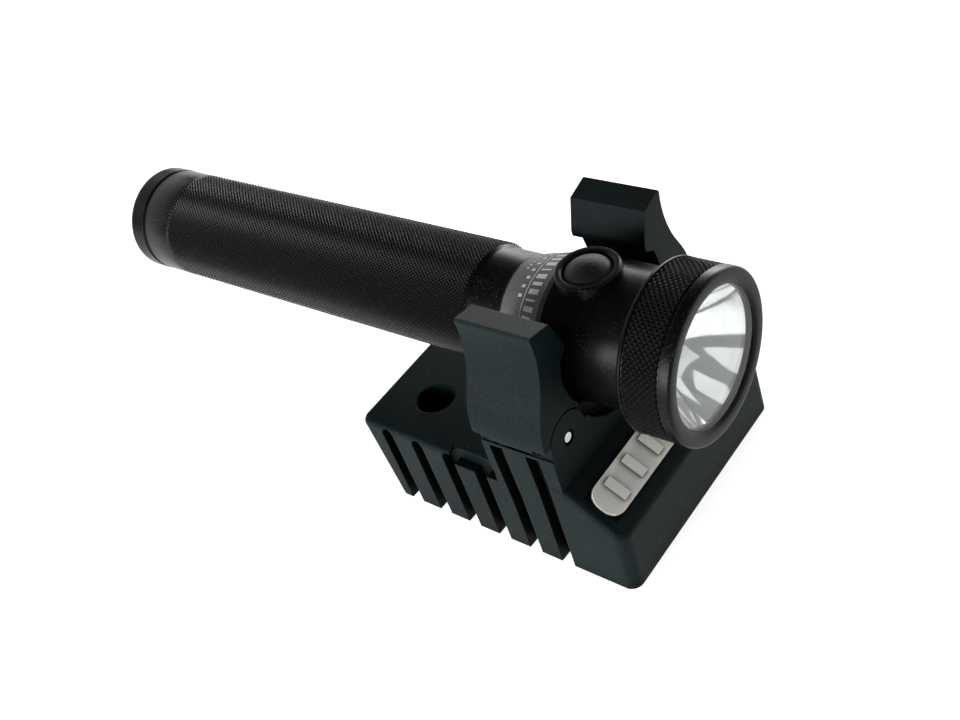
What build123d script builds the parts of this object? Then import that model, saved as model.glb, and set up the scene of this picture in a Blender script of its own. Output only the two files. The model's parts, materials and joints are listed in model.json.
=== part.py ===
from build123d import *
import os
from math import cos, degrees, radians, sin, sqrt, tan

# Rechargeable duty flashlight docked in its charging cradle, in millimetres.
# The origin is on the cradle's underside, between its ends, below the light. +X runs along the
# light towards its lens, +Z is up, and the light's axis lies above the X axis.

# ---------------------------------------------------------------- driving dimensions
light_length = 187.0
head_r = 20.55
barrel_r = 14.85
housing_r = 17.0
axis_z = 49.5            # height of the light's axis above the underside
tail_x = -137.7          # rear face of the light

base_front_x = 37.5
base_rear_x = -39.5
base_half_width = 33.4
deck_z = 25.3
front_edge_z = 17.3      # where the front slope meets the front face
slope_top_z = 27.2       # where the front slope meets the saddle tower
plate_t = 2.2            # bottom plate

tower_rear_x = 1.8       # saddle tower and arms
tower_front_x = 22.5
tower_half_width = 31.8
pivot_y = 24.6
pivot_z = axis_z - 11.0
ear_r = 6.7
ear_t = 3.5
pin_r = 1.25
running_gap = 0.06       # radial clearance of a turning pin
arm_gap = 0.4

slot_pitch = 10.0
slot_w = 3.8
slot_depth = 3.4
slot_count = 6
first_slot_x = -32.4      # middle of the rearmost slot at the underside
rear_rake = 6.0          # backward lean of the rearmost side slot, degrees
rake_step = 0.8          # each slot further forward stands this much straighter

hole_x = -28.6           # fixing holes
hole_y = 16.2
hole_r = 2.2
counterbore_r = 5.3
counterbore_depth = 6.0

button_s = 157.0         # distances along the light from its rear face carry the letter s
button_ring_r = 7.8
boot_r = 5.8
contact_s = 152.0
contact_y = 4.5
lens_s = 186.3           # front of the lens
reflector_mouth_r = 16.3
reflector_focal = 4.58

light_axis = Axis((0, 0, axis_z), (1, 0, 0))

os.makedirs("parts", exist_ok=True)


# ---------------------------------------------------------------- helpers
def save(shape, name):
    export_step(shape, f"parts/{name}.step")


def turned(profile):
    """Solid of revolution about the light's axis from (s, radius) corners."""
    corners = [(tail_x + s, 0, axis_z + r) for s, r in profile]
    return revolve(make_face(Polyline(*corners, close=True)), light_axis)


def rod_x(x0, x1, r, y=0.0, z=axis_z):
    """Cylinder along X from x0 to x1."""
    low = (Align.CENTER, Align.CENTER, Align.MIN)
    return Pos(x0, y, z) * Rot(0, 90, 0) * Cylinder(r, x1 - x0, align=low)


def rod_z(z0, z1, r, x=0.0, y=0.0):
    """Cylinder along Z from z0 to z1."""
    low = (Align.CENTER, Align.CENTER, Align.MIN)
    return Pos(x, y, z0) * Cylinder(r, z1 - z0, align=low)


def block(x, y, z):
    """Box from three (low, high) pairs."""
    size = [high - low for low, high in (x, y, z)]
    return Pos(*[(low + high) / 2 for low, high in (x, y, z)]) * Box(*size)


def prism_x(x0, x1, outline):
    """Solid between x0 and x1 from a (y, z) outline."""
    corners = [(x0, y, z) for y, z in outline]
    return extrude(make_face(Polyline(*corners, close=True)), x1 - x0, dir=(1, 0, 0))


def prism_y(half_width, outline):
    """Solid between -half_width and half_width from an (x, z) outline."""
    corners = [(x, -half_width, z) for x, z in outline]
    return extrude(make_face(Polyline(*corners, close=True)), 2 * half_width, dir=(0, 1, 0))


def coil(r, wire_r, length, turns):
    """Helical spring along Z, standing on z = 0."""
    path = Helix(pitch=(length - 2 * wire_r) / turns, height=length - 2 * wire_r, radius=r)
    section = Plane(origin=path @ 0, z_dir=path % 0) * Circle(wire_r)
    return Pos(0, 0, wire_r) * sweep(section, path=path, is_frenet=True)


def other_side(shape):
    return mirror(shape, about=Plane.XZ)


def circles_at(shape, x, r):
    """Circular edges of a turned part in the plane at x, of radius r."""
    rings = shape.edges().filter_by(GeomType.CIRCLE)
    return [e for e in rings if abs(e.center().X - x) < 0.01 and abs(e.radius - r) < 0.01]


# ---------------------------------------------------------------- flashlight: tube and tail
tail_cap_r = 14.8
cap_seam_s = 6.7
plug_r = 12.75
plug_end_s = 14.0
smooth_front_r = 13.8
housing_start_s = 136.5
spigot_end_s = 142.0
battery_r = 11.0
battery_start_s = 14.5
cell_length = 42.0
cell_gap = 0.4


def barrel():
    return turned([
        (7.0, 14.1), (7.4, 14.5), (17.6, 14.5), (18.0, barrel_r), (126.5, barrel_r),
        (127.4, smooth_front_r), (housing_start_s, smooth_front_r), (housing_start_s, 12.6),
        (spigot_end_s, 12.6), (spigot_end_s, 11.6), (24.0, 11.6), (23.0, plug_r + running_gap),
        (7.0, plug_r + running_gap),
    ])


def tail_cap():
    cap = turned([
        (0, 0), (0, tail_cap_r), (cap_seam_s - 0.5, tail_cap_r), (cap_seam_s, tail_cap_r - 0.5),
        (cap_seam_s, plug_r), (8.2, plug_r), (8.2, 11.6), (9.8, 11.6), (9.8, plug_r),
        (plug_end_s - 0.5, plug_r), (plug_end_s, plug_r - 0.5), (plug_end_s, 9.8), (3.5, 9.8), (3.5, 0),
    ])
    return fillet(circles_at(cap, tail_x, tail_cap_r), 1.8)


def ring_about_axis(s, r, section_r):
    """Rubber ring of round section about the light's axis."""
    return Pos(tail_x + s, 0, axis_z) * Rot(0, 90, 0) * Torus(r, section_r)


def lamp_envelope(s0, s1, r):
    """Glass envelope with a rounded front end."""
    tube = rod_x(tail_x + s0, tail_x + s1 - r, r)
    return tube + Pos(tail_x + s1 - r, 0, axis_z) * Sphere(r)


def lamp_pins(s0, s1):
    pins = [rod_x(tail_x + s0, tail_x + s1, 0.35, y=y) for y in (-1.3, 1.3)]
    return Compound(children=pins)


def build_tail():
    save(barrel(), "barrel")
    save(tail_cap(), "tail_cap")
    save(ring_about_axis(9.0, 12.13, 0.5), "tail_cap_o_ring")
    spring = Pos(tail_x + 3.6, 0, axis_z) * Rot(0, 90, 0) * coil(8.2, 0.6, 10.6, 4)
    save(spring, "tail_spring")
    holder = turned([(3.6, 0), (3.6, 4.6), (8.5, 4.6), (8.5, 3.0), (6.0, 3.0), (6.0, 0)])
    save(holder, "spare_lamp_holder")
    save(lamp_envelope(6.1, 13.6, 2.9), "spare_lamp")


def build_battery():
    cells = []
    for index in range(3):
        start = battery_start_s + index * (cell_length + cell_gap)
        cells.append(turned([
            (start, 0), (start, battery_r), (start + cell_length - 1.0, battery_r),
            (start + cell_length - 1.0, 4.0), (start + cell_length, 4.0), (start + cell_length, 0),
        ]))
    save(Compound(children=cells), "battery_cells")
    end = battery_start_s + 3 * cell_length + 2 * cell_gap
    sleeve = turned([
        (battery_start_s, battery_r), (battery_start_s, 11.3), (end - 0.4, 11.3), (end - 0.4, battery_r),
    ])
    save(sleeve, "battery_sleeve")
    contact = turned([(end, 0), (end, 3.4), (end + 0.8, 3.4), (end + 0.8, 2.0), (end + 2.0, 2.0),
                      (end + 2.0, 0)])
    save(contact, "battery_front_contact")


# ---------------------------------------------------------------- flashlight: switch housing
cone_end_s = 150.5
band_start_s = 137.0
band_end_s = 149.0
band_t = 0.3
housing_end_s = 173.1
neck_r = 15.2
neck_end_s = 177.6
chamber_r = 13.5
button_x = tail_x + button_s
ring_seat_z = axis_z + 15.3
ring_top_z = axis_z + 18.6
module_top_z = axis_z + 12.0
flange_drop = 1.6            # underside of the button's flange, below the ring's seat


def cone_r(s):
    """Outer radius of the cone between the barrel and the switch."""
    part = (s - housing_start_s) / (cone_end_s - housing_start_s)
    return smooth_front_r + part * (housing_r - smooth_front_r)


def switch_housing():
    shell = turned([
        (housing_start_s, 12.6), (housing_start_s, smooth_front_r),
        (band_start_s, cone_r(band_start_s)), (band_start_s, cone_r(band_start_s) - band_t),
        (band_end_s, cone_r(band_end_s) - band_t), (band_end_s, cone_r(band_end_s)),
        (cone_end_s, housing_r),
        (housing_end_s - 0.4, housing_r), (housing_end_s, housing_r - 0.4),
        (housing_end_s, neck_r), (174.9, neck_r), (174.9, 14.3), (176.1, 14.3), (176.1, neck_r),
        (neck_end_s, neck_r), (neck_end_s, 13.9), (170.0, 13.9), (169.4, chamber_r),
        (143.0, chamber_r), (spigot_end_s, 12.6),
    ])
    shell -= rod_z(ring_seat_z, axis_z + 25, button_ring_r, button_x)
    shell -= rod_z(axis_z + 10, axis_z + 25, 6.9, button_x)
    for side in (-1, 1):
        shell -= rod_z(axis_z - 20, axis_z - 10, 2.2, tail_x + contact_s, side * contact_y)
    return shell


def name_band():
    start_r = cone_r(band_start_s)
    end_r = cone_r(band_end_s)
    return turned([(band_start_s, start_r - band_t), (band_start_s, start_r), (band_end_s, end_r),
                   (band_end_s, end_r - band_t)])


def switch_module():
    body = rod_x(tail_x + 144.2, tail_x + 163.6, 12.9)
    body &= block((-300, 300), (-30, 30), (axis_z - 11.0, module_top_z))
    body -= rod_z(axis_z + 6.0, module_top_z + 1, 2.3, button_x)
    return body


def switch_boot():
    """Rubber button: flange, short wall and a low dome."""
    flange = rod_z(ring_seat_z - flange_drop, ring_seat_z - 0.3, 6.6, button_x)
    wall = rod_z(ring_seat_z - 0.3, ring_top_z - 1.0, boot_r, button_x)
    rise = 2.6
    dome_r = (boot_r ** 2 + rise ** 2) / (2 * rise)
    dome = Pos(button_x, 0, ring_top_z - 1.0 + rise - dome_r) * Sphere(dome_r)
    dome &= rod_z(ring_top_z - 1.0, ring_top_z + 5, boot_r, button_x)
    return flange + wall + dome


def build_switch():
    save(switch_housing(), "switch_housing")
    save(name_band(), "name_band")
    save(switch_module(), "switch_module")
    save(switch_boot(), "switch_boot")
    ring = rod_z(ring_seat_z, ring_top_z, button_ring_r, button_x)
    ring -= rod_z(ring_seat_z - 1, ring_top_z + 1, boot_r + 0.15, button_x)
    ring = chamfer([e for e in ring.edges().filter_by(GeomType.CIRCLE)
                    if e.center().Z > ring_top_z - 0.01], 0.5)
    save(ring, "switch_retaining_ring")
    plunger_bottom = axis_z + 10.2
    save(rod_z(plunger_bottom, ring_seat_z - flange_drop, 2.1, button_x), "switch_plunger")
    spring = Pos(button_x, 0, axis_z + 6.05) * coil(1.6, 0.25, 4.1, 4)
    save(spring, "switch_spring")


def build_contacts():
    """Two charging contacts on the underside, each in an insulating bush."""
    contacts = []
    bushes = []
    outer = rod_x(tail_x + 150.6, tail_x + 172, housing_r)
    for side in (-1, 1):
        at = {"x": tail_x + contact_s, "y": side * contact_y}
        contacts.append(rod_z(axis_z - 16.35, axis_z - 11.05, 1.6, **at))
        bush = rod_z(axis_z - 20, axis_z - 12.4, 2.2, **at) - rod_z(axis_z - 21, axis_z - 10, 1.6, **at)
        bushes.append(bush & outer)
    save(Compound(children=contacts), "charge_contacts")
    save(Compound(children=bushes), "contact_bushes")


# ---------------------------------------------------------------- flashlight: lamp and head
def reflector_r(s, vertex_s):
    return sqrt(4 * reflector_focal * (s - vertex_s))


def reflector():
    """Parabolic bowl with a hole for the lamp and a flange behind the lens."""
    wall = 0.8
    mouth_s = lens_s - 1.7
    vertex_s = mouth_s - reflector_mouth_r ** 2 / (4 * reflector_focal)
    steps = 14
    start_s = vertex_s + 3.4 ** 2 / (4 * reflector_focal)
    stations = [start_s + (mouth_s - start_s) * (i / steps) ** 2 for i in range(steps + 1)]
    inner = [(s, reflector_r(s, vertex_s)) for s in stations]
    outer = [(s, r + wall) for s, r in reversed(inner[:-2])]
    flange = [(mouth_s, 18.05), (mouth_s - 0.6, 18.05), (mouth_s - 0.6, reflector_mouth_r + 0.6)]
    return turned(inner + flange + outer)


def head_shell():
    shell = turned([
        (173.5, neck_r + running_gap), (173.5, 19.9), (174.1, head_r), (186.1, head_r),
        (light_length, head_r - 0.9), (light_length, 17.5), (lens_s + 0.2, 16.7), (lens_s, 16.7),
        (lens_s, 18.1), (180.2, 18.1), (178.4, 16.6), (178.4, neck_r + running_gap),
    ])
    for s in (175.6, 184.8):
        shell -= turned([(s - 0.25, head_r - 0.45), (s - 0.25, head_r + 1), (s + 0.25, head_r + 1),
                         (s + 0.25, head_r - 0.45)])
    return shell


def build_head():
    save(head_shell(), "head_shell")
    save(reflector(), "reflector")
    save(turned([(lens_s - 1.2, 0), (lens_s - 1.2, 18.0), (lens_s, 18.0), (lens_s, 0)]), "lens")
    gasket = turned([(lens_s - 1.7, 16.7), (lens_s - 1.7, 18.0), (lens_s - 1.2, 18.0),
                     (lens_s - 1.2, 16.7)])
    save(gasket, "lens_gasket")
    save(ring_about_axis(175.5, 14.76, 0.43), "neck_o_ring")


def build_lamp():
    socket = turned([(163.7, 0), (163.7, 9.0), (165.0, 13.4), (167.0, 13.4), (167.0, 5.0),
                     (169.2, 5.0), (169.2, 0)])
    for y in (-1.3, 1.3):
        socket -= rod_x(tail_x + 164.6, tail_x + 170, 0.35, y=y)
    save(socket, "lamp_socket")
    bulb = lamp_envelope(169.3, 179.0, 3.0)
    bulb -= rod_x(tail_x + 171.2, tail_x + 177.2, 2.4)
    bulb -= rod_x(tail_x + 169, tail_x + 171.3, 0.35, y=-1.3)
    bulb -= rod_x(tail_x + 169, tail_x + 171.3, 0.35, y=1.3)
    save(bulb, "lamp_bulb")
    save(lamp_pins(164.6, 173.2), "lamp_pins")
    filament = Pos(tail_x + 173.6, -1.4, axis_z) * Rot(-90, 0, 0) * coil(0.3, 0.09, 2.8, 5)
    save(filament, "lamp_filament")


# ---------------------------------------------------------------- cradle: housing
edge_round = 1.6
corner_round = 3.0
rear_lean = 5.1 / deck_z             # rearward lean of the rear wall, per unit of height
front_lean = 0.2 / front_edge_z
side_draft = 0.035                   # inward lean of the side walls, per unit of height
plan_taper = 0.032                   # narrowing towards the rear, per unit of length
cavity_top_z = 17.5
wall_t = 5.4
plate_inset = 4.4
screw_r = 1.15
plate_screw_places = [(-16.0, 23.0), (28.5, 24.3), (-16.0, -23.0), (28.5, -24.3)]
pocket_x = (-13.4, 1.7)            # lowered stretch of the deck's side edge
pocket_depth = 3.4
recess_z = axis_z - 12.4             # floor under the arm's foot, outside the hub
contact_x = tail_x + contact_s
block_top_z = axis_z - 18.0
block_bottom_z = axis_z - 27.0
socket_z = 9.5                       # power socket in the rear wall
socket_r = 4.2
label_w = 8.9                        # name plate on the front slope
label_length = 59.0
label_recess = 0.5
slope_run = base_front_x - front_lean * front_edge_z - tower_front_x
slope_drop = slope_top_z - front_edge_z
slope_plane = Plane(
    origin=(tower_front_x + slope_run * 0.52, 0, slope_top_z - slope_drop * 0.52),
    x_dir=(slope_run, 0, -slope_drop),
    z_dir=(slope_drop, 0, slope_run),
)


def side_y(x, z):
    """Half-width of the housing at a place on its side wall."""
    return base_half_width - plan_taper * (base_front_x - x) - side_draft * z


def beyond_side_wall(inset=0.0):
    """Everything outside the left side wall, moved in by inset."""
    origin = (base_front_x, base_half_width - inset, 0)
    wall = Plane(origin=origin, x_dir=(1, plan_taper, 0), z_dir=(-plan_taper, 1, side_draft))
    return wall * Pos(-60, 0, 0) * Box(300, 300, 80, align=(Align.CENTER, Align.CENTER, Align.MIN))


def wedge(top_z, inset=0.0, bottom_z=0.0):
    """The housing's outline from bottom_z to top_z, moved in by inset."""
    outline = []
    for z in (bottom_z, top_z):
        outline.append((base_rear_x - rear_lean * z + inset, z))
        outline.append((base_front_x - front_lean * z - inset, z))
    rear_low, front_low, rear_high, front_high = outline
    body = prism_y(60, [rear_low, front_low, front_high, rear_high])
    outside = beyond_side_wall(inset)
    return body - outside - other_side(outside)


def base_block():
    """Outer body: drafted box with a flat deck and a front slope."""
    body = wedge(30.0)
    upright = [e for e in body.edges() if abs((e @ 0).Z - (e @ 1).Z) > 5]
    body = fillet(upright, corner_round)
    step_x = tower_rear_x + 8
    front_x = base_front_x - front_lean * front_edge_z
    overrun = 20.0
    slope = (slope_top_z - front_edge_z) / (front_x - tower_front_x)
    body -= prism_y(60, [
        (-60, deck_z), (step_x, deck_z), (step_x, slope_top_z), (tower_front_x, slope_top_z),
        (front_x + overrun, front_edge_z - slope * overrun), (front_x + overrun, 60), (-60, 60),
    ])
    soft = [e for e in body.edges() if is_deck_side(e) or is_front_crease(e)]
    return fillet(soft, edge_round)


def is_deck_side(edge):
    """Long edges where the deck meets the side and rear walls."""
    flat = abs((edge @ 0).Z - deck_z) < 0.01 and abs((edge @ 1).Z - deck_z) < 0.01
    return flat and edge.length > 20 and edge.center().X < tower_rear_x


def is_front_crease(edge):
    """Edge where the front slope meets the front face."""
    middle = edge.center()
    return edge.length > 40 and abs(middle.Y) < 1 and middle.X > 30 and middle.Z > 5


def tower_block():
    """Saddle tower between and below the arms, with its lower rear face leaning like the slots."""
    lean = tan(radians(rear_rake))
    low_z = 14.0
    knee_z = recess_z - 8
    outline = [(tower_rear_x + lean * (knee_z - low_z), low_z), (tower_front_x, low_z),
               (tower_front_x, pivot_z), (tower_rear_x, pivot_z), (tower_rear_x, knee_z)]
    return prism_y(tower_half_width, outline)


def ear(x0, x1, gap=0.0):
    """Left pivot ear: round top about the pin, outer side running down to the side wall."""
    r = ear_r + gap
    skirt = prism_x(x0, x1, [
        (pivot_y, pivot_z), (pivot_y + r, pivot_z), (tower_half_width - 0.3 + gap, recess_z - 3),
        (pivot_y, recess_z - 3),
    ])
    return rod_x(x0, x1, r, pivot_y, pivot_z) + skirt


def side_slot(index):
    """Cutter for one side slot on the left, open at the bottom.

    The rear slots end in a round top just below the deck. The last ones run up the tower
    and open into the recess under the arm.
    """
    low = (Align.CENTER, Align.MIN, Align.MIN)
    rake = rear_rake - rake_step * index
    in_tower = index >= slot_count - 2
    top_z = recess_z + 1 if in_tower else deck_z - 0.7
    length = top_z / cos(radians(rake))
    cutter = Pos(0, 0, -8) * Box(slot_w, 14, length + 8 - slot_w / 2, align=low)
    if not in_tower:
        end = Cylinder(slot_w / 2, 14, align=(Align.CENTER, Align.CENTER, Align.MIN))
        cutter += Pos(0, 0, length - slot_w / 2) * Rot(-90, 0, 0) * end
    x0 = first_slot_x + index * slot_pitch
    turn = degrees(plan_taper)
    return Pos(x0, side_y(x0, 0) - slot_depth, 0) * Rot(0, 0, turn) * Rot(0, -rake, 0) * cutter


def side_pocket():
    """Cutter for the lowered deck edge just behind the tower, on the left."""
    x0, x1 = pocket_x
    low = (Align.CENTER, Align.MIN, Align.MIN)
    middle = (x0 + x1) / 2
    turn = degrees(plan_taper)
    cutter = Rot(0, 0, turn) * Box(x1 - x0, 14, 20, align=low)
    return Pos(middle, side_y(middle, 0) - slot_depth, deck_z - pocket_depth) * cutter


def cradle_housing():
    body = base_block() + tower_block()
    hub_x = (tower_rear_x + ear_t, tower_front_x - ear_t)
    for side in (-1, 1):
        # room for the arm's hub between the ears
        body -= rod_x(hub_x[0], hub_x[1], ear_r + arm_gap, side * pivot_y, pivot_z)
        outer = sorted((side * (pivot_y - 1), side * 40))
        body -= block((tower_rear_x - 5, tower_front_x + 5), outer, (recess_z, 70))
    for x0 in (tower_rear_x, tower_front_x - ear_t):
        body += ear(x0, x0 + ear_t)
        body += other_side(ear(x0, x0 + ear_t))
    body -= rod_x(tower_rear_x - 5, tower_front_x + 1, housing_r + 0.4)
    body -= rod_x(tower_front_x - ear_t, tower_front_x + 5, 20.2)
    # hollow inside, closed by the bottom plate
    hollow = wedge(cavity_top_z, wall_t)
    body -= hollow - rod_z(-1, 40, 7.5, hole_x, hole_y) - rod_z(-1, 40, 7.5, hole_x, -hole_y)
    body -= block((7.5, 19.0), (-9.5, 9.5), (15, axis_z - 27))
    body -= wedge(plate_t, plate_inset, -1.0)
    for x, y in plate_screw_places:
        body += rod_z(plate_t, cavity_top_z + 1, 3.2, x, y)
        body -= rod_z(plate_t - 1, 12, screw_r, x, y)
    for index in range(slot_count):
        cutter = side_slot(index)
        body -= cutter
        body -= other_side(cutter)
    body -= side_pocket()
    body -= other_side(side_pocket())
    for side in (-1, 1):
        body -= rod_z(-1, deck_z + 1, hole_r, hole_x, side * hole_y)
        body -= rod_z(deck_z - counterbore_depth, deck_z + 5, counterbore_r, hole_x, side * hole_y)
        body -= rod_x(tower_rear_x - 1, tower_front_x + 1, pin_r, side * pivot_y, pivot_z)
        for x0 in (tower_rear_x - 1, tower_front_x - 0.6):
            body -= rod_x(x0, x0 + 1.6, 2.0, side * pivot_y, pivot_z)
    body -= contact_block_outline(0.0)
    body -= slope_plane * Box(label_w + 0.4, label_length + 0.4, 2 * label_recess)
    body -= rod_x(-60, -30, socket_r, 0, socket_z)
    return body


def build_cradle_shell():
    save(cradle_housing(), "cradle_housing")
    plate = wedge(plate_t, plate_inset + 0.15)
    screws = []
    for x, y in plate_screw_places:
        plate -= rod_z(-1, plate_t + 1, 1.6, x, y)
        plate -= rod_z(-1, 1.2, 3.0, x, y)
        head = rod_z(0.1, 1.2, 2.8, x, y) - Pos(x, y, 0.1) * Box(0.6, 3.4, 0.8)
        screws.append(head + rod_z(1.2, 9.0, screw_r, x, y))
    for side in (-1, 1):
        plate -= rod_z(-1, plate_t + 1, hole_r, hole_x, side * hole_y)
    save(plate, "bottom_plate")
    save(Compound(children=screws), "bottom_plate_screws")


# ---------------------------------------------------------------- cradle: arms
spring_x = (9.4, 15.2)               # pocket for the closing spring, along the pin


def arm_profile():
    """Section of the left arm across the light, as one closed face at x = 0."""
    def at(y, up):
        return (0, y, axis_z + up)
    foot = at(33.0, -9.7)
    tip = at(27.1, 20.4)
    outer = Spline(foot, at(33.0, -5.2), at(31.6, 0.2), at(29.1, 5.6), at(27.3, 11.5), tip)
    hook = Polyline(tip, at(26.6, 21.1), at(20.2, 19.6), at(17.4, 11.8), at(17.4, 10.2),
                    at(20.4, 8.0), at(21.4, 3.0), at(20.4, -2.0), at(18.2, -6.0))
    close_low = Polyline(at(18.2, -6.0), at(pivot_y, -11.0), foot)
    return make_face(outer.edges() + hook.edges() + close_low.edges())


def left_arm():
    """Wide curved shell with a hooked top and a hub between the ears."""
    width = tower_front_x - tower_rear_x
    arm = extrude(arm_profile(), width, dir=(1, 0, 0))
    arm = Pos(tower_rear_x, 0, 0) * arm
    arm -= ear(tower_rear_x - 1, tower_rear_x + ear_t + arm_gap, arm_gap)
    arm -= ear(tower_front_x - ear_t - arm_gap, tower_front_x + 1, arm_gap)
    below = (pivot_y, 40), (20, pivot_z + 2.5)
    arm -= block((tower_rear_x - 1, tower_rear_x + ear_t + arm_gap), *below)
    arm -= block((tower_front_x - ear_t - arm_gap, tower_front_x + 1), *below)
    hub_x = (tower_rear_x + ear_t + arm_gap, tower_front_x - ear_t - arm_gap)
    arm += rod_x(hub_x[0], hub_x[1], ear_r - 0.2, pivot_y, pivot_z)
    arm -= rod_x(hub_x[0] - 1, hub_x[1] + 1, pin_r + running_gap, pivot_y, pivot_z)
    arm -= rod_x(spring_x[0], spring_x[1], 3.7, pivot_y, pivot_z)
    arm -= block(spring_x, (pivot_y - 12, pivot_y), (pivot_z - 3.0, pivot_z + 3.0))
    return arm


def build_arms():
    arm = left_arm()
    save(arm, "left_arm")
    save(other_side(arm), "right_arm")
    pin = rod_x(tower_rear_x + 0.2, tower_front_x - 0.2, pin_r, pivot_y, pivot_z)
    save(pin, "left_arm_pin")
    save(other_side(pin), "right_arm_pin")
    spring = Pos(spring_x[0] + 0.4, pivot_y, pivot_z) * Rot(0, 90, 0) * coil(2.4, 0.45, 5.0, 4)
    save(spring, "left_arm_spring")
    save(other_side(spring), "right_arm_spring")


# ---------------------------------------------------------------- cradle: charging contacts
def contact_block_outline(shrink):
    return block((contact_x - 4.2 + shrink, contact_x + 4.2 - shrink), (-8.6 + shrink, 8.6 - shrink),
                 (block_bottom_z, block_top_z + 6 * (shrink == 0.0)))


def build_charge_plungers():
    holder = contact_block_outline(0.05)
    for side in (-1, 1):
        at = {"x": contact_x, "y": side * contact_y}
        holder -= rod_z(block_bottom_z + 1.2, block_top_z - 2.0, 2.1, **at)
        holder -= rod_z(block_top_z - 3, block_top_z + 1, 1.3 + running_gap, **at)
        plunger = rod_z(axis_z - 24.0, axis_z - 16.5, 1.3, **at)
        plunger += rod_z(axis_z - 21.6, axis_z - 20.6, 2.0, **at)
        spring = Pos(contact_x, side * contact_y, axis_z - 25.75) * coil(1.75, 0.2, 4.1, 4)
        name = "left" if side > 0 else "right"
        save(plunger, f"{name}_charge_plunger")
        save(spring, f"{name}_plunger_spring")
    save(holder, "contact_block")


# ---------------------------------------------------------------- cradle: board, socket, label
def label_plate():
    """Rounded name plate with a row of plain raised bars."""
    low = (Align.CENTER, Align.CENTER, Align.MIN)
    plate = extrude(RectangleRounded(label_w, label_length, 3.9), 1.3)
    for index in range(7):
        plate += Pos(0, (index - 3) * 7.6, 1.3) * Box(6.2, 2.6, 0.5, align=low)
    return slope_plane * Pos(0, 0, -label_recess) * plate


def build_electrics():
    board = block((-14.0, 24.0), (-17.0, 17.0), (8.0, 9.6))
    save(board, "circuit_board")
    rear_x = base_rear_x - rear_lean * (socket_z - socket_r)
    body = rod_x(rear_x, rear_x + 11.5, socket_r, 0, socket_z)
    body -= rod_x(rear_x - 1, rear_x + 9.5, 2.8, 0, socket_z)
    body += rod_x(rear_x + 1.5, rear_x + 10, 1.0, 0, socket_z)
    save(body, "power_socket")
    save(label_plate(), "name_plate")


build_tail()
build_battery()
build_switch()
build_contacts()
build_head()
build_lamp()
build_cradle_shell()
build_arms()
build_charge_plungers()
build_electrics()
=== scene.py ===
import json
from math import cos, pi, radians, sin

import bpy
from mathutils import Matrix, Vector


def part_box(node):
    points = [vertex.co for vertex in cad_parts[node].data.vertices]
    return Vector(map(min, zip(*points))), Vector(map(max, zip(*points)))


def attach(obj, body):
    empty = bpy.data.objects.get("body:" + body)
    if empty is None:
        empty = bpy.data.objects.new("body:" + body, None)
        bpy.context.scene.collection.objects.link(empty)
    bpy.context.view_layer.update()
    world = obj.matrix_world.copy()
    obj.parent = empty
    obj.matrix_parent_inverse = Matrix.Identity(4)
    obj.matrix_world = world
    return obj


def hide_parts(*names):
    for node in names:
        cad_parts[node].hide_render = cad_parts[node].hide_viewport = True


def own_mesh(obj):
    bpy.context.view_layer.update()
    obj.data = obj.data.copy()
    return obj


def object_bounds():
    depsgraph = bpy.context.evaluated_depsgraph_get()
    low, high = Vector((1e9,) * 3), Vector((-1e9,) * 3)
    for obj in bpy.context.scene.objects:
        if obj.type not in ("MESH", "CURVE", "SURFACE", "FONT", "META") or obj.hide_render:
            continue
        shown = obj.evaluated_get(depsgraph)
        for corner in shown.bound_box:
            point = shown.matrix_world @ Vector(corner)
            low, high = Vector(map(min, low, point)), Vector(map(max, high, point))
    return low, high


# Duty flashlight standing in its charging cradle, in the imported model's frame.
# The object's own lengths are in millimetres and MM turns them into metres. Lights, cards and
# camera are placed in metres. Along the light, s is the distance in mm from its rear face, and
# r is the distance in mm from its axis.

MM = 0.001

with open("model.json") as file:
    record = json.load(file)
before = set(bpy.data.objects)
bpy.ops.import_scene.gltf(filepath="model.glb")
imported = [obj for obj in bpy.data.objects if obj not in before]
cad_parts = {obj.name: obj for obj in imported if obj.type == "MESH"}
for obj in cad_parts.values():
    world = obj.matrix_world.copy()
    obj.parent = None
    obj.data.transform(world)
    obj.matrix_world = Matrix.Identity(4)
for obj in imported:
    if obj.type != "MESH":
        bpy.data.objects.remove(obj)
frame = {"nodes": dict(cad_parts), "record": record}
cad_low, cad_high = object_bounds()
nodes = frame["nodes"]
barrel_low, barrel_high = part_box("barrel")

TAIL_X = cad_low[0] / MM                             # rear face of the light
AXIS_Z = (barrel_low[2] + barrel_high[2]) / 2 / MM   # axis of the light

BARREL_COLUMNS = 184         # points round the barrel, two per knurl diamond
BARREL_ROW = 0.6             # length of one knurl row
BARREL_CREST_R = 14.85
BARREL_ROOT_R = 14.48
BARREL_BORE_R = 12.81
COLLAR_R = 14.7              # smooth ends of the barrel
NECK_R = 13.8                # where the barrel slides into the switch housing
SPIGOT_R = 12.6
BATTERY_BORE_R = 11.6

HEAD_COLUMNS = 160
HEAD_ROW = 0.72
HEAD_CREST_R = 20.55
HEAD_ROOT_R = 20.05
HEAD_FRONT_S = 187.0
HEAD_NECK_BORE_R = 15.26
LENS_BORE_R = 18.1
LENS_FRONT_S = 186.3

REFLECTOR_FOCAL = 4.58
REFLECTOR_MOUTH_S = 184.6
REFLECTOR_MOUTH_R = 16.3
REFLECTOR_WALL = 0.8
REFLECTOR_RIM = 0.6          # thickness of the flange
LAMP_HOLE_R = 3.4

CONE_REAR_S = 136.5          # cone behind the switch, which carries the printed band
CONE_REAR_R = 13.8
CONE_LENGTH = 14.0
CONE_RISE = 3.2

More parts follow.
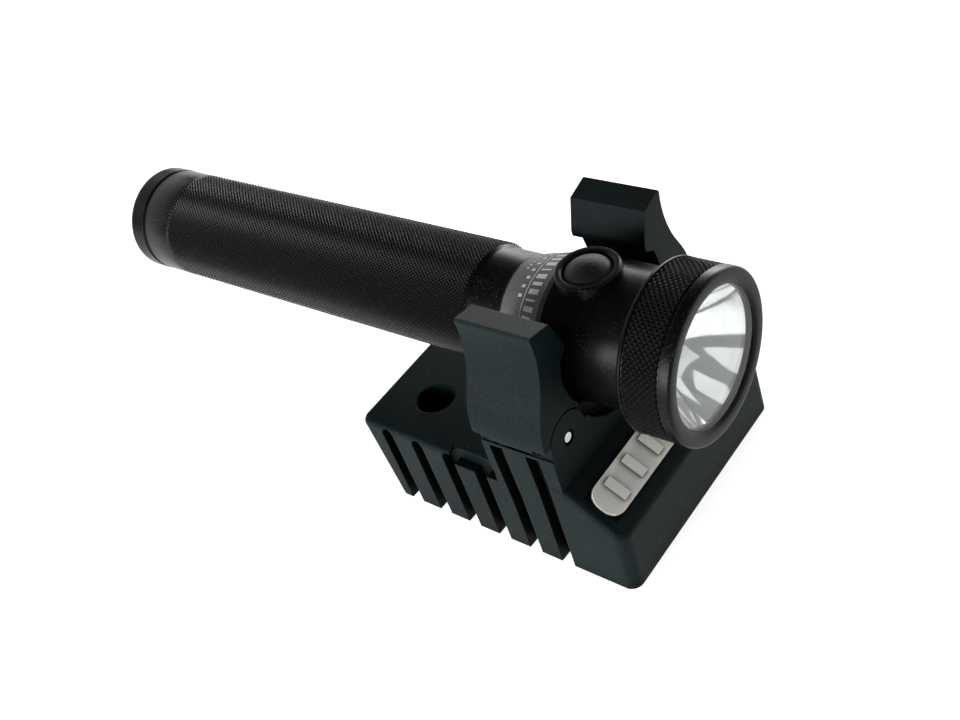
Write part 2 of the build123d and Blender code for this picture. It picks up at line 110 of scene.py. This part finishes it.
LIGHT_TARGET = (0.0, 0.0, 0.04)
FLOOR_SIDE = 8.0
FLOOR_GAP = 0.2 * MM         # keeps the floor clear of the cradle's underside
FLOOR_GLOW = 0.8
CARD_GLOW = 0.9
WORLD_GLOW = 0.06
BACKDROP = 1.1               # how bright the camera sees the world
CAMERA_AT = (0.1765, -0.1735, 0.2454)
CAMERA_RIGHT = Vector((0.7774, 0.57052, -0.26486))
CAMERA_UP = Vector((-0.23047, 0.65016, 0.724))
CAMERA_BACK = Vector((0.58526, -0.5018, 0.63692))
CAMERA_LENS = 49.29          # mm on a sensor 36 mm wide


# ---------------------------------------------------------------- node materials
class Shader:
    """A node material in object space. Scales are per mm, depths in mm, colours linear RGB."""

    def __init__(self, name):
        self.material = bpy.data.materials.new(name)
        self.material.use_nodes = True
        self.tree = self.material.node_tree
        self.tree.nodes.clear()
        self.output = self.node("ShaderNodeOutputMaterial")
        coordinates = self.node("ShaderNodeTexCoord")
        scale = self.node("ShaderNodeVectorMath", operation="SCALE")
        scale.inputs["Scale"].default_value = 1 / MM
        self.link(coordinates.outputs["Object"], scale.inputs[0])
        self.place = scale.outputs[0]

    def node(self, kind, **settings):
        made = self.tree.nodes.new(kind)
        for key, value in settings.items():
            setattr(made, key, value)
        return made

    def link(self, source, target):
        self.tree.links.new(source, target)

    def value(self, target, source):
        """Puts a number, a colour or another node's output into a socket."""
        if isinstance(source, bpy.types.NodeSocket):
            self.link(source, target)
        elif isinstance(source, tuple):
            target.default_value = (*source, 1.0)
        else:
            target.default_value = source

    def math(self, operation, a, b):
        made = self.node("ShaderNodeMath", operation=operation)
        self.value(made.inputs[0], a)
        self.value(made.inputs[1], b)
        return made.outputs[0]

    def share(self, source, amount):
        """The source times amount."""
        return self.math("MULTIPLY", source, amount)

    def noise(self, scale, detail=3.0, roughness=0.5, stretch=None):
        """Noise in 0..1 with scale features per millimetre."""
        made = self.node("ShaderNodeTexNoise")
        made.inputs["Scale"].default_value = scale
        made.inputs["Detail"].default_value = detail
        made.inputs["Roughness"].default_value = roughness
        place = self.place
        if stretch:
            mapping = self.node("ShaderNodeMapping")
            mapping.inputs["Scale"].default_value = stretch
            self.link(place, mapping.inputs["Vector"])
            place = mapping.outputs[0]
        self.link(place, made.inputs["Vector"])
        return made.outputs["Fac"]

    def spots(self, scale, size):
        """1 in small round spots, about one in every cell of 1/scale millimetres."""
        made = self.node("ShaderNodeTexVoronoi")
        made.inputs["Scale"].default_value = scale
        self.link(self.place, made.inputs["Vector"])
        return self.ramp(made.outputs["Distance"], size, size * 0.5)

    def ramp(self, source, low, high):
        """0 at low, 1 at high, straight between."""
        made = self.node("ShaderNodeMapRange")
        made.inputs["From Min"].default_value = low
        made.inputs["From Max"].default_value = high
        self.link(source, made.inputs["Value"])
        return made.outputs["Result"]

    def mix(self, factor, a, b, kind="RGBA"):
        """Colour a where factor is 0 and b where it is 1."""
        made = self.node("ShaderNodeMix", data_type=kind)
        self.value(made.inputs["Factor"], factor)
        self.value(made.inputs["A"], a)
        self.value(made.inputs["B"], b)
        return made.outputs["Result"]

    def lerp(self, factor, a, b):
        """The same for numbers."""
        return self.mix(factor, a, b, "FLOAT")

    def bump(self, height, depth, normal=None):
        """Bump of the given depth in millimetres."""
        made = self.node("ShaderNodeBump")
        made.inputs["Distance"].default_value = depth * MM
        self.link(height, made.inputs["Height"])
        if normal:
            self.link(normal, made.inputs["Normal"])
        return made.outputs["Normal"]

    def soft_edges(self, radius):
        """Normal that rounds sharp edges, and a mask that is 1 on them."""
        bevel = self.node("ShaderNodeBevel", samples=4)
        bevel.inputs["Radius"].default_value = radius * MM
        geometry = self.node("ShaderNodeNewGeometry")
        dot = self.node("ShaderNodeVectorMath", operation="DOT_PRODUCT")
        self.link(bevel.outputs[0], dot.inputs[0])
        self.link(geometry.outputs["Normal"], dot.inputs[1])
        return bevel.outputs[0], self.ramp(dot.outputs["Value"], 0.995, 0.86)

    def openness(self, reach, low, high):
        """Occlusion mask for painted shade: 1 in the open and 0 deep in corners and slots; walls count
        up to reach mm away.
        """
        made = self.node("ShaderNodeAmbientOcclusion", samples=4)
        made.inputs["Distance"].default_value = reach * MM
        return self.ramp(made.outputs["AO"], low, high)

    def principled(self, **values):
        """Finishes the material; an input's spaces are written as underscores."""
        made = self.node("ShaderNodeBsdfPrincipled")
        for key, source in values.items():
            self.value(made.inputs[key.replace("_", " ")], source)
        self.link(made.outputs[0], self.output.inputs["Surface"])
        return self.material


def darker(color, share):
    return tuple(share * c for c in color)


def anodised(name):
    """Satin black anodised aluminium: fine tooth, faint turning marks, bright worn edges, dust."""
    s = Shader(name)
    edge_normal, edge = s.soft_edges(0.18)
    grain = s.noise(5.0, 4)
    turning = s.noise(1.2, 2, stretch=(6.0, 0.25, 0.25))
    patches = s.noise(0.07, 3)
    wear = s.share(edge, s.ramp(s.noise(0.5, 4, 0.65), 0.42, 0.72))
    dust = s.share(s.spots(1.7, 0.23), s.ramp(s.noise(0.15, 3), 0.44, 0.6))
    color = s.mix(patches, (0.0015, 0.0017, 0.0018), (0.0034, 0.0038, 0.0038))
    color = s.mix(s.share(wear, 0.8), color, (0.1, 0.105, 0.105))
    color = s.mix(s.share(dust, 0.7), color, (0.11, 0.115, 0.12))
    rough = s.lerp(grain, 0.24, 0.38)
    rough = s.lerp(wear, rough, 0.24)
    height = s.math("ADD", grain, s.share(turning, 0.5))
    normal = s.bump(height, 0.012, edge_normal)
    return s.principled(Base_Color=color, Roughness=rough, Specular_IOR_Level=0.1, Normal=normal)


def knurled(name):
    """The same anodising on the diamond knurls, whose tips have rubbed slightly lighter."""
    s = Shader(name)
    grain = s.noise(6.0, 3)
    patches = s.noise(0.06, 4)
    tips = s.ramp(s.noise(0.9, 4, 0.7), 0.52, 0.75)
    color = s.mix(patches, (0.002, 0.0022, 0.0023), (0.0045, 0.005, 0.005))
    color = s.mix(s.share(tips, 0.35), color, (0.022, 0.024, 0.024))
    rough = s.lerp(grain, 0.3, 0.44)
    return s.principled(Base_Color=color, Roughness=rough, Specular_IOR_Level=0.14,
                        Normal=s.bump(grain, 0.008))


def moulded(name, dark, light, rough_low, rough_high, texture=0.02):
    """Moulded plastic: fine spark-eroded texture, soft edges rubbed paler, light dust and scuffs, and
    painted shade that darkens slots and corners.
    """
    s = Shader(name)
    edge_normal, edge = s.soft_edges(0.3)
    grain = s.noise(3.2, 4, 0.6)
    patches = s.noise(0.05, 4)
    scuffs = s.ramp(s.noise(0.35, 5, 0.7, stretch=(0.3, 1.6, 1.0)), 0.58, 0.78)
    dust = s.share(s.spots(0.6, 0.11), s.ramp(s.noise(0.12, 3), 0.48, 0.7))
    mottle = s.ramp(s.lerp(0.7, patches, s.noise(1.7, 4, 0.75)), 0.3, 0.7)
    color = s.mix(mottle, dark, light)
    lighter = tuple(2.2 * c + 0.006 for c in light)
    color = s.mix(s.share(edge, 0.35), color, lighter)
    color = s.mix(s.share(scuffs, 0.14), color, lighter)
    # painted shade: slots, corners and crevices up to 5 mm deep darken towards near black
    color = s.mix(s.openness(5.0, 0.35, 0.95), darker(dark, 0.12), color)
    color = s.mix(s.share(dust, 0.4), color, (0.16, 0.17, 0.17))
    rough = s.lerp(patches, rough_low, rough_high)
    rough = s.lerp(s.share(scuffs, 0.4), rough, rough_low * 0.85)
    normal = s.bump(grain, texture, edge_normal)
    return s.principled(Base_Color=color, Roughness=rough, Specular_IOR_Level=s.lerp(mottle, 0.05, 0.09),
                        Normal=normal)


def rubber(name, dark, light, texture=0.05):
    """Matt rubber with a pebbled skin and pale dust in it."""
    s = Shader(name)
    pebbles = s.noise(1.4, 5, 0.7)
    patches = s.noise(0.25, 4)
    dust = s.ramp(s.noise(2.6, 3, 0.6), 0.6, 0.75)
    color = s.mix(patches, dark, light)
    color = s.mix(s.share(dust, 0.35), color, (0.13, 0.15, 0.17))
    rough = s.lerp(pebbles, 0.36, 0.62)
    return s.principled(Base_Color=color, Roughness=rough, Specular_IOR_Level=0.2,
                        Normal=s.bump(pebbles, texture))


def metal(name, dark, light, rough, scratch=(1.0, 1.0, 1.0)):
    """Bare metal with fine scratches and slight tarnish."""
    s = Shader(name)
    lines = s.noise(2.2, 4, 0.6, stretch=scratch)
    tarnish = s.noise(0.3, 4)
    color = s.mix(tarnish, dark, light)
    roughness = s.lerp(lines, rough * 0.7, rough * 1.4)
    return s.principled(Base_Color=color, Roughness=roughness, Metallic=1.0, Normal=s.bump(lines, 0.004))


def printed(name, dark, light, corner=0.7):
    """Matt print or enamel, slightly rubbed and speckled, with painted shade up to corner mm round
    steps.
    """
    s = Shader(name)
    speckle = s.ramp(s.noise(3.0, 4, 0.7), 0.42, 0.7)
    rubbed = s.noise(0.4, 4, 0.65)
    color = s.mix(speckle, dark, light)
    # painted shade: the print darkens up to corner mm round steps and raised bars
    color = s.mix(s.openness(corner, 0.62, 0.96), darker(dark, 0.1), color)
    rough = s.lerp(rubbed, 0.42, 0.62)
    return s.principled(Base_Color=color, Roughness=rough, Specular_IOR_Level=0.3,
                        Normal=s.bump(speckle, 0.012))


def mirror_coat(name):
    """Vapour-coated reflector: bright, faintly rippled, with thin bands where the coat varies."""
    s = Shader(name)
    ripple = s.noise(0.16, 2)
    bands = s.ramp(s.noise(0.5, 3, stretch=(1.0, 0.3, 0.3)), 0.3, 0.8)
    color = s.mix(bands, (0.97, 0.98, 0.98), (0.87, 0.89, 0.9))
    rough = s.lerp(bands, 0.06, 0.12)
    return s.principled(Base_Color=color, Roughness=rough, Metallic=0.8, Normal=s.bump(ripple, 0.05))


def clear_glass(name, tint, haze):
    """Clear glass that lets light straight through, with faint smears in its reflection."""
    s = Shader(name)
    smears = s.noise(0.12, 4, 0.6)
    facing = s.node("ShaderNodeLayerWeight")
    facing.inputs["Blend"].default_value = 0.5
    grazing = s.math("POWER", facing.outputs["Facing"], 5.0)
    reflection = s.math("ADD", s.share(grazing, 0.9), 0.03)
    through = s.node("ShaderNodeBsdfTransparent")
    through.inputs["Color"].default_value = (*tint, 1.0)
    shine = s.node("ShaderNodeBsdfGlossy")
    s.link(s.lerp(smears, 0.02, haze), shine.inputs["Roughness"])
    both = s.node("ShaderNodeMixShader")
    s.link(reflection, both.inputs[0])
    s.link(through.outputs[0], both.inputs[1])
    s.link(shine.outputs[0], both.inputs[2])
    s.link(both.outputs[0], s.output.inputs["Surface"])
    return s.material


finishes = {
    "black_anodised": anodised("black_anodised"),
    "band_grey": printed("band_grey", (0.06, 0.064, 0.063), (0.13, 0.14, 0.138)),
    "black_rubber": rubber("black_rubber", (0.006, 0.0065, 0.007), (0.014, 0.015, 0.016)),
    "cradle_plastic": moulded("cradle_plastic", (0.0012, 0.004, 0.0043), (0.007, 0.0145, 0.015),
                              0.45, 0.58, 0.03),
    "plate_grey": printed("plate_grey", (0.82, 0.8, 0.73), (0.95, 0.935, 0.87), 1.3),
    "steel": metal("steel", (0.55, 0.55, 0.56), (0.72, 0.72, 0.72), 0.22),
    "contact_brass": metal("contact_brass", (0.62, 0.46, 0.2), (0.82, 0.66, 0.34), 0.24),
    "lamp_glass": clear_glass("lamp_glass", (0.96, 0.97, 0.97), 0.04),
    "lens_glass": clear_glass("lens_glass", (0.985, 0.99, 0.99), 0.06),
    "reflector_mirror": mirror_coat("reflector_mirror"),
    "cell_steel": metal("cell_steel", (0.42, 0.42, 0.43), (0.6, 0.6, 0.6), 0.35, (0.2, 2.0, 2.0)),
    "sleeve_plastic": moulded("sleeve_plastic", (0.03, 0.09, 0.24), (0.05, 0.12, 0.3), 0.2, 0.3, 0.004),
    "board_green": moulded("board_green", (0.015, 0.12, 0.045), (0.03, 0.2, 0.08), 0.25, 0.4, 0.006),
    "insulator": moulded("insulator", (0.4, 0.38, 0.33), (0.52, 0.5, 0.44), 0.45, 0.6, 0.01),
    "socket_ceramic": moulded("socket_ceramic", (0.66, 0.64, 0.58), (0.78, 0.76, 0.7), 0.4, 0.55, 0.01),
    "filament_metal": metal("filament_metal", (0.3, 0.3, 0.32), (0.45, 0.45, 0.47), 0.4),
}
button_rubber = rubber("button_rubber", (0.003, 0.004, 0.005), (0.008, 0.0105, 0.0125), 0.12)
knurl_finish = knurled("knurled_anodising")
marking_white = printed("marking_white", (0.45, 0.45, 0.44), (0.8, 0.8, 0.78))

for part in frame["record"]["subparts"]:
    mesh = nodes[part["node"]].data
    mesh.materials.clear()
    mesh.materials.append(finishes[part["material_slot"]])
nodes["switch_boot"].data.materials[0] = button_rubber


# ---------------------------------------------------------------- turned pieces with knurls
def add_piece(name, points, faces, materials, body):
    """Mesh object in the frame, riding on a CAD body. Points are in millimetres."""
    mesh = bpy.data.meshes.new(name)
    mesh.from_pydata([(x * MM, y * MM, z * MM) for x, y, z in points], [], faces)
    for material in materials:
        mesh.materials.append(material)
    mesh.update()
    piece = bpy.data.objects.new(name, mesh)
    bpy.context.scene.collection.objects.link(piece)
    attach(piece, body)
    return piece


def turned_mesh(name, rings, columns, materials, body):
    """Closed turned ring about the light's axis.

    rings is a closed loop of (s, r, root). Where root is smaller than r the ring belongs to a
    knurl: every second point drops to root, in turn from ring to ring, which leaves pyramids
    standing between crossing grooves.
    """
    points = []
    for k, (s, r, root) in enumerate(rings):
        for i in range(columns):
            angle = 2 * pi * i / columns
            radius = r if (k + i) % 2 else root
            points.append((TAIL_X + s, radius * sin(angle), AXIS_Z + radius * cos(angle)))
    faces = []
    knurl_faces = []
    for k in range(len(rings)):
        after = (k + 1) % len(rings)
        is_knurl = rings[k][1] > rings[k][2] or rings[after][1] > rings[after][2]
        for i in range(columns):
            j = (i + 1) % columns
            a, b = k * columns + i, k * columns + j
            c, d = after * columns + j, after * columns + i
            if not is_knurl:
                faces.append((a, b, c, d))
                knurl_faces.append(False)
                continue
            if (k + i) % 2:
                faces += [(a, b, d), (b, c, d)]
            else:
                faces += [(a, b, c), (a, c, d)]
            knurl_faces += [True, True]
    piece = add_piece(name, points, faces, materials, body)
    for polygon, is_knurl in zip(piece.data.polygons, knurl_faces):
        polygon.use_smooth = not is_knurl
        polygon.material_index = 1 if is_knurl else 0
    piece.data.set_sharp_from_angle(angle=radians(35))
    return piece


def plain(*corners):
    """Smooth rings through (s, r) corners."""
    return [(s, r, r) for s, r in corners]


def knurl_rings(start, end, row, crest, root):
    """Rings of a knurl from start to end, about row apart."""
    count = 2 * round((end - start) / row / 2)
    step = (end - start) / count
    return [(start + step * k, crest, root) for k in range(count + 1)]


def arc_corner(s, r, radius, steps=5):
    """Rounded front outer corner ending at (s, r) with its centre inside."""
    centre_s, centre_r = s - radius, r - radius
    turns = [pi / 2 * (1 - k / steps) for k in range(steps + 1)]
    return [(centre_s + radius * cos(t), centre_r + radius * sin(t)) for t in turns]


barrel_rings = (
    plain((7.0, 14.3), (7.1, 14.55), (7.35, COLLAR_R), (16.6, COLLAR_R))
    + [(17.0, 14.74, 14.66), (17.55, 14.78, 14.58)]
    + knurl_rings(18.1, 126.2, BARREL_ROW, BARREL_CREST_R, BARREL_ROOT_R)
    + plain((126.5, 14.35), (127.2, 13.85), (127.5, NECK_R), (136.5, NECK_R), (136.5, SPIGOT_R),
            (142.0, SPIGOT_R), (142.0, BATTERY_BORE_R), (24.0, BATTERY_BORE_R),
            (23.0, BARREL_BORE_R), (7.0, BARREL_BORE_R))
)
barrel = turned_mesh("barrel_knurled", barrel_rings, BARREL_COLUMNS,
                     [finishes["black_anodised"], knurl_finish], "flashlight")
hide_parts("barrel")

head_rings = (
    plain((173.5, HEAD_NECK_BORE_R), (173.5, 19.95), (173.62, 20.25), (173.85, 20.45),
          (174.1, HEAD_CREST_R), (174.55, HEAD_CREST_R), (174.65, 20.1), (174.85, HEAD_ROOT_R))
    + knurl_rings(174.95, 183.55, HEAD_ROW, HEAD_CREST_R, HEAD_ROOT_R)
    + plain((183.7, 20.0), (184.15, 20.0), (184.25, 20.4), (184.4, HEAD_CREST_R))
    + plain(*arc_corner(HEAD_FRONT_S, HEAD_CREST_R, 0.7))
    + plain((HEAD_FRONT_S, 17.65), (186.92, 17.42), (186.55, 16.8), (186.45, 16.7),
            (LENS_FRONT_S, 16.7), (LENS_FRONT_S, LENS_BORE_R), (180.2, LENS_BORE_R),
            (178.4, 16.6), (178.4, HEAD_NECK_BORE_R))
)
head = turned_mesh("head_knurled", head_rings, HEAD_COLUMNS,
                   [finishes["black_anodised"], knurl_finish], "head")
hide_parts("head_shell")


# ---------------------------------------------------------------- reflector
def reflector_bowl(steps=40):
    """Smooth parabolic bowl with a lamp hole and a flange, as thick as the CAD part."""
    bowl_depth = REFLECTOR_MOUTH_R ** 2 / (4 * REFLECTOR_FOCAL)
    width = REFLECTOR_MOUTH_R - LAMP_HOLE_R
    radii = [LAMP_HOLE_R + width * k / steps for k in range(steps + 1)]
    inner = [(REFLECTOR_MOUTH_S - bowl_depth + r ** 2 / (4 * REFLECTOR_FOCAL), r) for r in radii]
    outer = [(s, r + REFLECTOR_WALL) for s, r in reversed(inner[:-3])]
    rim_r = LENS_BORE_R - 0.05
    rim_back_s = REFLECTOR_MOUTH_S - REFLECTOR_RIM
    flange = [(REFLECTOR_MOUTH_S, rim_r), (rim_back_s, rim_r),
              (rim_back_s, REFLECTOR_MOUTH_R + REFLECTOR_RIM)]
    loop = inner + flange + outer
    loop.reverse()
    return loop


reflector = turned_mesh("reflector_bowl", plain(*reflector_bowl()), 128,
                        [finishes["reflector_mirror"]], "head")
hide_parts("reflector")


# ---------------------------------------------------------------- printed marks on the name band
def cone_r(s):
    """Outer radius of the cone behind the switch."""
    return CONE_REAR_R + (s - CONE_REAR_S) / CONE_LENGTH * CONE_RISE


def mark_patches(patches, lift=0.05, sunk=-0.02, step_angle=0.05):
    """Points and faces of thin printed patches on the cone.

    Each patch is (s0, s1, middle, width): from s0 to s1 along the light, and width mm wide
    about the angle middle. It stands lift mm proud and its edges start just under the surface.
    """
    points, faces = [], []
    for s0, s1, middle, width in patches:
        half = width / cone_r((s0 + s1) / 2) / 2
        steps = max(1, round(half * 2 / step_angle))
        base = len(points)
        for k in range(steps + 1):
            angle = middle - half + 2 * half * k / steps
            for s, depth in ((s0, sunk), (s0, lift), (s1, lift), (s1, sunk)):
                r = cone_r(s) + depth
                points.append((TAIL_X + s, -r * sin(angle), AXIS_Z + r * cos(angle)))
        for k in range(steps):
            a = base + 4 * k
            for c in range(4):
                d = (c + 1) % 4
                faces.append((a + c, a + d, a + 4 + d, a + 4 + c))
        last = base + 4 * steps
        faces += [(base + 3, base + 2, base + 1, base), (last, last + 1, last + 2, last + 3)]
    return points, faces


def mark_row(s0, s1, count, pitch, middle, widths):
    """Row of count marks, pitch degrees apart; mark number middle would be on top."""
    return [(s0, s1, radians(pitch * (k - middle)), widths[k % len(widths)]) for k in range(count)]


band_line = [(143.45, 143.7, 0.0, 34.0)]
band_bars = mark_row(144.4, 147.4, 14, 7.6, 6.5, (1.3, 0.9, 1.3, 0.5))
band_dots = mark_row(141.5, 142.6, 8, 9.0, 3.5, (0.8,))
band_ticks = mark_row(139.6, 140.3, 10, 5.0, 8.5, (0.45,))
mark_points, mark_faces = mark_patches(band_line + band_bars + band_dots + band_ticks)
marks = add_piece("name_band_marks", mark_points, mark_faces, [marking_white], "flashlight")


# ---------------------------------------------------------------- springs under plungers
def pressed_spring(node, body):
    """Stands for a CAD spring: a copy of its mesh riding on the body, with the CAD node hidden."""
    spring = bpy.data.objects.new(f"{node}_coil", nodes[node].data.copy())
    bpy.context.scene.collection.objects.link(spring)
    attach(spring, body)
    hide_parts(node)
    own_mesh(spring)


pressed_spring("left_plunger_spring", "cradle")
pressed_spring("right_plunger_spring", "cradle")
pressed_spring("switch_spring", "flashlight")


# ---------------------------------------------------------------- stage, light and camera
def sheet(name, width, height, material):
    """Flat rectangle round its own origin, facing +Z."""
    x, y = width / 2, height / 2
    mesh = bpy.data.meshes.new(name)
    mesh.from_pydata([(-x, -y, 0), (x, -y, 0), (x, y, 0), (-x, y, 0)], [], [(0, 1, 2, 3)])
    mesh.materials.append(material)
    return bpy.data.objects.new(name, mesh)


def aim(thing, place):
    """Puts a light or a card at place, with its -Z axis towards the object."""
    thing.location = place
    thing.rotation_mode = "QUATERNION"
    thing.rotation_quaternion = (Vector(LIGHT_TARGET) - Vector(place)).to_track_quat("-Z", "Y")
    bpy.context.scene.collection.objects.link(thing)


def add_floor():
    shader = Shader("pale_floor")
    tone = shader.mix(shader.noise(0.004, 2), (0.9, 0.9, 0.9), (0.93, 0.93, 0.93))
    paper = shader.principled(Base_Color=tone, Roughness=0.85, Specular_IOR_Level=0.1,
                              Emission_Color=(1.0, 1.0, 1.0), Emission_Strength=FLOOR_GLOW)
    floor = sheet("floor", FLOOR_SIDE, FLOOR_SIDE, paper)
    floor.location.z = -FLOOR_GAP
    bpy.context.scene.collection.objects.link(floor)


def soft_box(name, place, size, power):
    lamp = bpy.data.lights.new(name, "AREA")
    lamp.shape = "RECTANGLE"
    lamp.size, lamp.size_y = size
    lamp.energy = power
    aim(bpy.data.objects.new(name, lamp), place)


def bounce_card(name, place, size):
    """White card that only shows in reflections."""
    shader = Shader(name)
    glow = shader.node("ShaderNodeEmission")
    glow.inputs["Strength"].default_value = CARD_GLOW
    shader.link(glow.outputs[0], shader.output.inputs["Surface"])
    card = sheet(name, *size, shader.material)
    card.visible_camera = False
    card.visible_diffuse = False
    card.visible_shadow = False
    aim(card, place)


def add_world():
    """Dim even light, seen by the camera as a white backdrop."""
    world = bpy.data.worlds.new("studio")
    world.use_nodes = True
    tree = world.node_tree
    background = tree.nodes["Background"]
    background.inputs["Color"].default_value = (0.95, 0.97, 1.0, 1.0)
    path = tree.nodes.new("ShaderNodeLightPath")
    seen = tree.nodes.new("ShaderNodeMapRange")
    seen.inputs["To Min"].default_value = WORLD_GLOW
    seen.inputs["To Max"].default_value = BACKDROP
    tree.links.new(path.outputs["Is Camera Ray"], seen.inputs["Value"])
    tree.links.new(seen.outputs["Result"], background.inputs["Strength"])
    bpy.context.scene.world = world


def add_camera():
    lens = bpy.data.cameras.new("camera")
    lens.sensor_width = 36.0
    lens.lens = CAMERA_LENS
    lens.clip_start = 0.01
    lens.clip_end = 20.0
    camera = bpy.data.objects.new("camera", lens)
    turn = Matrix((CAMERA_RIGHT, CAMERA_UP, CAMERA_BACK)).transposed().to_4x4()
    camera.matrix_world = Matrix.Translation(CAMERA_AT) @ turn
    bpy.context.scene.collection.objects.link(camera)
    bpy.context.scene.camera = camera


add_floor()
soft_box("key", (-0.25, -1.0, 0.26), (0.7, 0.4), 14.0)
soft_box("front", (1.2, 0.2, 0.42), (1.4, 0.8), 2.2)
soft_box("back", (-0.45, 0.97, 0.32), (1.0, 0.25), 6.5)
soft_box("far_side", (0.0, 1.05, 0.17), (1.4, 0.3), 9.0)
soft_box("rear", (-1.1, 0.0, 0.42), (1.4, 0.8), 4.0)
bounce_card("card_left", (0.75, -0.75, 0.75), (0.5, 0.7))
bounce_card("card_high", (0.8, 0.35, 1.1), (0.7, 0.4))
bounce_card("card_right", (0.75, 0.95, 0.45), (0.45, 0.6))
add_world()
add_camera()
bpy.context.scene.view_settings.view_transform = "Standard"
